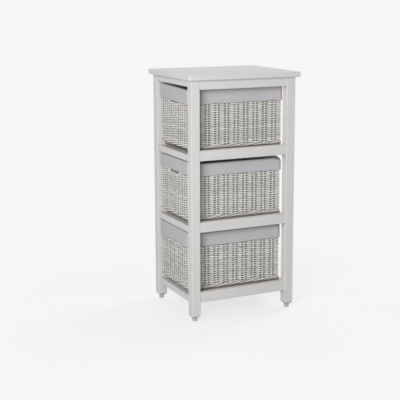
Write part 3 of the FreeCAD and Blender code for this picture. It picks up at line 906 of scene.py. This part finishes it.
def fold_liner(tier, settings, basket, half, run):
    """Points of the liner: stations of its profile by columns round the basket, by 3.

    Each station is an outline round the basket: place * core * gather + normal * (corner + out). Out follows
    the cuff, a quarter turn over each edge of the rim, the inner wall and a small turn at the floor, where
    gather shrinks from 1 to the hole in the middle. The fold and the hem slant from left to right, the fold
    dips at the rear right corner, the cuff is slack towards its hem, and behind the hand-hold the cloth is
    pushed in.
    """
    liner, weave = settings.liner, settings.weave
    random = np.random.default_rng(SEEDS[tier] + LINER_SEED)
    phases = random.uniform(0, FULL_TURN, (1, 3))
    whole = outline_length(*half)
    place, normal, core = plan_outline(run, *half)
    across = np.clip((place * core + normal * weave.corner)[:, 0] / basket.half_width, -1, 1)
    facing = smooth(-normal[:, 1], *FRONT_TURN)

    rear_corner = core[0] + weave.corner * math.pi / 2 * 1.5 + 2 * core[1]
    dip = CORNER_DIP[tier] * MM * np.exp(-((np.abs(run - rear_corner) / DIP_WIDTH) ** 2))
    rise = slant(SIDE_RISE[tier], across) * (1 - facing) + slant(FRONT_RISE[tier], across) * facing
    shoulder = basket.rim + liner.ease * FOLD_OVER - dip + rise - liner.fold
    droop = slant(HEM_DROOP[tier], across) * facing
    waver = wander(run[None], whole, HEM_WAVES, phases, HEM_WAVER)[0]
    hem = basket.rim + HEM_RAISED - liner.cuff - droop + waver
    slack = wander(run[None], whole, SLACK_WAVES, phases[:, ::-1], liner.ripple)[0]
    slack = np.maximum(slack, -SLACK_INWARDS * liner.ripple)

    outer = liner.ease
    inside = -weave.wall - liner.ease
    floor = basket.wall_foot + liner.ease
    turn = weave.corner + inside - CORE_GAP
    # The cuff's stations lie close together where the doubled hem ends.
    cuff = np.concatenate((np.linspace(0, 0.21, 5), (0.225, 0.24), np.linspace(0.3, 1, 9)))[:, None]
    doubled = liner.hem_swell * smooth(-cuff, -HEM_END[1], -HEM_END[0])
    bend = np.linspace(0, math.pi / 2, FOLD_STEPS)[1:, None]
    back = bend[::-1]
    level = shoulder + (floor + turn - shoulder) * np.linspace(0, 1, INNER_STEPS)[1:, None]
    sideways = across * basket.half_width / (weave.hold_width / 2)
    upright = (level - hold_middle(basket, weave)) / (PRESS_HEIGHT * weave.hold_height)
    pressed = liner.press * facing * np.exp(-(sideways**6) - upright**4)
    share = np.linspace(1, BOTTOM_HOLE, BOTTOM_STEPS)[1:, None]
    profile = (
        (outer + doubled + slack * (1 - cuff) ** SLACK_FALL, hem + (shoulder - hem) * cuff),
        (outer - liner.fold * (1 - np.cos(bend)), shoulder + liner.fold * np.sin(bend)),
        (inside + liner.fold * (1 - np.cos(back)), shoulder + liner.fold * np.sin(back)),
        (inside - pressed, level),
        (inside - turn * (1 - np.cos(bend)), floor + turn * (1 - np.sin(bend))),
        (-weave.corner + CORE_GAP * share, np.full_like(share, floor)),
    )
    stations = [spread(out, height, (len(height), len(run))) for out, height in profile]
    out, height = np.moveaxis(np.concatenate(stations), -1, 0)
    gathered = np.ones(len(out))
    gathered[-len(share):] = share[:, 0]
    flat = basket.middle + place * core * gathered[:, None, None] + normal * (weave.corner + out)[..., None]
    return lift_flat(flat, height), normal


def sew_liner(tier, settings):
    """The cloth liner: one sheet from the hem of the cuff, over the rim and down to the middle of its floor.

    Its map gives the way round the basket and the way down from the hem. Its seams are where the outward
    direction is halfway between two sides.
    """
    liner, weave = settings.liner, settings.weave
    basket = measure(tier)
    half = (basket.half_width, basket.half_length, weave.corner)
    step = outline_length(*half) / LINER_COLUMNS
    run = np.arange(LINER_COLUMNS) * step
    points, normal = fold_liner(tier, settings, basket, half, run)
    grid = points.shape[:2]
    index = np.arange(grid[0] * grid[1]).reshape(grid)
    beside = np.roll(index, -1, 1)
    quads = np.stack((index[:-1], beside[:-1], beside[1:], index[1:]), -1).reshape(-1, 4)
    gaps = np.linalg.norm(np.diff(points, axis=0), axis=-1)
    down = np.concatenate((np.zeros((1, LINER_COLUMNS)), np.cumsum(gaps, 0)))
    down_beside = np.roll(down, -1, 1)
    corners = [
        spread(u, v, v.shape)
        for u, v in (
            (run, down[:-1]), (run + step, down_beside[:-1]), (run + step, down_beside[1:]), (run, down[1:])
        )
    ]
    layout = np.concatenate((np.stack(corners, -2).reshape(-1, 2), np.stack((run, down[-1]), -1)))
    seam = np.exp(-(((np.abs(normal[:, 0] * normal[:, 1]) - 0.5) / SEAM_WIDTH) ** 2))
    made = build(
        f"{tier}_lining", points.reshape(-1, 3), quads.tolist() + [index[-1].tolist()], "Cloth", layout,
        bpy.data.materials["cotton"], {"seam": np.broadcast_to(seam, grid).ravel()},
    )
    thicken = made.modifiers.new("Cloth", "SOLIDIFY")
    thicken.thickness = liner.cloth
    thicken.offset = 0
    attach(made, f"{tier}_basket")
    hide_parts(f"{tier}_basket_liner")


# Frame and stage


def dress_frame(settings):
    """Paint the frame's own solids along their grain, and finish the feet, dowels and runners."""
    across, deep, upright = (
        make_paint(f"paint_{name}", axis, settings) for axis, name in enumerate(("across", "deep", "upright"))
    )
    finishes = {
        "foot": make_glide("glide", settings),
        "dowels": make_beech("beech", settings),
        # The runners take a darker colour that paints the shade under the baskets.
        "runner": make_shaded_runner("waxed", settings),
        "post": upright,
    }
    for name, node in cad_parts.items():
        if "_basket_" in name:
            continue
        plain = across if name.startswith(("front_", "back_")) else deep
        node.data.materials.clear()
        node.data.materials.append(finishes.get(name.rsplit("_", 1)[-1], plain))


def set_stage(stage):
    """Camera, pale floor that fades into the backdrop, even sky and four soft lamps."""
    scene = bpy.context.scene
    scene.view_settings.view_transform = "Standard"
    data = bpy.data.cameras.new("camera")
    data.sensor_width = SENSOR
    data.lens = stage.lens
    data.shift_x, data.shift_y = stage.shift
    data.clip_end = FAR_END
    camera = bpy.data.objects.new("camera", data)
    camera.location = stage.eye
    camera.rotation_euler = (math.pi / 2 - stage.pitch, 0, stage.heading)
    scene.collection.objects.link(camera)
    scene.camera = camera
    light_world(stage)
    for name, (across, place) in LAMPS.items():
        add_lamp(name, getattr(stage, name), across, place)
    lay_floor(stage)


def light_world(stage):
    """An even sky. Where the camera, a gloss or a clear surface sees it, it has the backdrop's colour."""
    shader = Shader(bpy.data.worlds.new("studio"))
    sky = shader.node("ShaderNodeBackground", None, {"Strength": stage.sky})
    backdrop = shader.node("ShaderNodeBackground", None, {"Color": shade(stage.backdrop)})
    mixed = shader.mix(shader.seen(), sky, backdrop)
    shader.node("ShaderNodeOutputWorld", None, {"Surface": mixed})
    bpy.context.scene.world = shader.holder


def add_lamp(name, power, across, place):
    """A soft square lamp that faces the middle of the unit and leaves no glare on the paint."""
    data = bpy.data.lights.new(name, "AREA")
    data.energy = power
    data.size = across
    lamp = bpy.data.objects.new(name, data)
    lamp.visible_camera = False
    lamp.visible_glossy = False
    lamp.location = place
    lamp.rotation_mode = "QUATERNION"
    away = Vector(place) - (CAD_BOX[0] + CAD_BOX[1]) / 2
    lamp.rotation_quaternion = away.to_track_quat("Z", "Y")
    bpy.context.scene.collection.objects.link(lamp)


def lay_floor(stage):
    """A round floor, one face with its corners at radius * (cos, sin).

    Where it is seen, it shows the backdrop's own colour and, near the unit, some of the light and shadow that
    fall on it. Other light meets a dull floor. Towards its edge the floor is clear.
    """
    shader = new_material("floor")
    here = shader.node("ShaderNodeTexCoord", output="Object")
    away = shader.node("ShaderNodeVectorMath", {"operation": "LENGTH"}, {0: here}, output="Value")
    cloud = shader.noise(here, scale=3.0)
    tone = shader.tones(cloud, stage.backdrop, dark=0.995, light=1.005)
    matt = shader.node("ShaderNodeBsdfDiffuse", None, {"Color": tone})
    dull = shader.node("ShaderNodeBsdfDiffuse", None, {"Color": shade(stage.backdrop, 0.45)})
    glow = shader.node("ShaderNodeEmission", None, {"Color": tone, "Strength": 1.0})
    clear = shader.node("ShaderNodeBsdfTransparent")
    share = stage.floor_glow + (1 - stage.floor_glow) * away.step(*SHADOW_FADE)
    lit = shader.mix(shader.seen(), dull, shader.mix(share, matt, glow))
    mixed = shader.mix(away.step(*EDGE_FADE), lit, clear)
    shader.node("ShaderNodeOutputMaterial", None, {"Surface": mixed})
    t = np.arange(FLOOR_SIDES) * (FULL_TURN / FLOOR_SIDES)
    rim = np.stack((FLOOR_RADIUS * np.cos(t), FLOOR_RADIUS * np.sin(t), np.zeros_like(t)), -1)
    mesh = bpy.data.meshes.new("floor")
    mesh.from_pydata(rim.tolist(), [], [list(range(FLOOR_SIDES))])
    mesh.materials.append(shader.holder)
    floor = bpy.data.objects.new("floor", mesh)
    bpy.context.scene.collection.objects.link(floor)


# Operators and panel


class DRAWERUNIT_OT_set_stage(bpy.types.Operator):
    """Set up the camera, the floor and the light"""

    bl_idname = "drawer_unit.set_stage"
    bl_label = "Set stage"

    def execute(self, context):
        set_stage(context.scene.drawer_unit.stage)
        return {"FINISHED"}


class DRAWERUNIT_OT_paint_frame(bpy.types.Operator):
    """Paint the posts, rails, shelves and top, and finish the feet, dowels and runners"""

    bl_idname = "drawer_unit.paint_frame"
    bl_label = "Paint frame"

    def execute(self, context):
        dress_frame(context.scene.drawer_unit)
        return {"FINISHED"}


class DRAWERUNIT_OT_weave_walls(bpy.types.Operator):
    """Weave the basket walls round their stakes"""

    bl_idname = "drawer_unit.weave_walls"
    bl_label = "Weave walls"

    def execute(self, context):
        settings = context.scene.drawer_unit
        make_wicker("willow", settings)
        for tier in TIERS:
            weave_wall(tier, settings.weave)
        return {"FINISHED"}


class DRAWERUNIT_OT_bind_handholds(bpy.types.Operator):
    """Bind the edges of the hand-holds"""

    bl_idname = "drawer_unit.bind_handholds"
    bl_label = "Bind hand-holds"

    def execute(self, context):
        for tier in TIERS:
            bind_handhold(tier, context.scene.drawer_unit.weave)
        return {"FINISHED"}


class DRAWERUNIT_OT_wale_borders(bpy.types.Operator):
    """Lay the rope-like borders round the feet of the baskets"""

    bl_idname = "drawer_unit.wale_borders"
    bl_label = "Wale borders"

    def execute(self, context):
        for tier in TIERS:
            wale_border(tier, context.scene.drawer_unit.weave)
        return {"FINISHED"}


class DRAWERUNIT_OT_weave_bases(bpy.types.Operator):
    """Weave the bases of the baskets"""

    bl_idname = "drawer_unit.weave_bases"
    bl_label = "Weave bases"

    def execute(self, context):
        for tier in TIERS:
            weave_base(tier, context.scene.drawer_unit.weave)
        return {"FINISHED"}


class DRAWERUNIT_OT_sew_liners(bpy.types.Operator):
    """Sew the cloth liners and fold them over the rims"""

    bl_idname = "drawer_unit.sew_liners"
    bl_label = "Sew liners"

    def execute(self, context):
        settings = context.scene.drawer_unit
        make_cotton("cotton", settings, settings.liner.hem * STITCH_PLACE)
        for tier in TIERS:
            sew_liner(tier, settings)
        return {"FINISHED"}


OPERATORS = (
    DRAWERUNIT_OT_set_stage,
    DRAWERUNIT_OT_paint_frame,
    DRAWERUNIT_OT_weave_walls,
    DRAWERUNIT_OT_bind_handholds,
    DRAWERUNIT_OT_wale_borders,
    DRAWERUNIT_OT_weave_bases,
    DRAWERUNIT_OT_sew_liners,
)


class DRAWERUNIT_PT_panel(bpy.types.Panel):
    """The drawer unit's settings and steps"""

    bl_idname = "DRAWERUNIT_PT_panel"
    bl_label = "Drawer Unit"
    bl_space_type = "VIEW_3D"
    bl_region_type = "UI"
    bl_category = "Drawer Unit"

    def draw(self, context):
        settings = context.scene.drawer_unit
        for group in (settings.weave, settings.liner, settings.finish, settings.stage):
            box = self.layout.box()
            for key in group.bl_rna.properties.keys():
                if key not in ("rna_type", "name"):
                    box.prop(group, key)
        for operator in OPERATORS:
            self.layout.operator(operator.bl_idname)


CLASSES = (
    WeaveSettings,
    LinerSettings,
    FinishSettings,
    StageSettings,
    DrawerUnitSettings,
    *OPERATORS,
    DRAWERUNIT_PT_panel,
)


def register():
    for item in CLASSES:
        bpy.utils.register_class(item)
    bpy.types.Scene.drawer_unit = bpy.props.PointerProperty(type=DrawerUnitSettings)


def unregister():
    del bpy.types.Scene.drawer_unit
    for item in reversed(CLASSES):
        bpy.utils.unregister_class(item)


def main():
    """Build everything in order."""
    register()
    for operator in OPERATORS:
        group, name = operator.bl_idname.split(".")
        getattr(getattr(bpy.ops, group), name)()


if __name__ == "__main__":
    main()
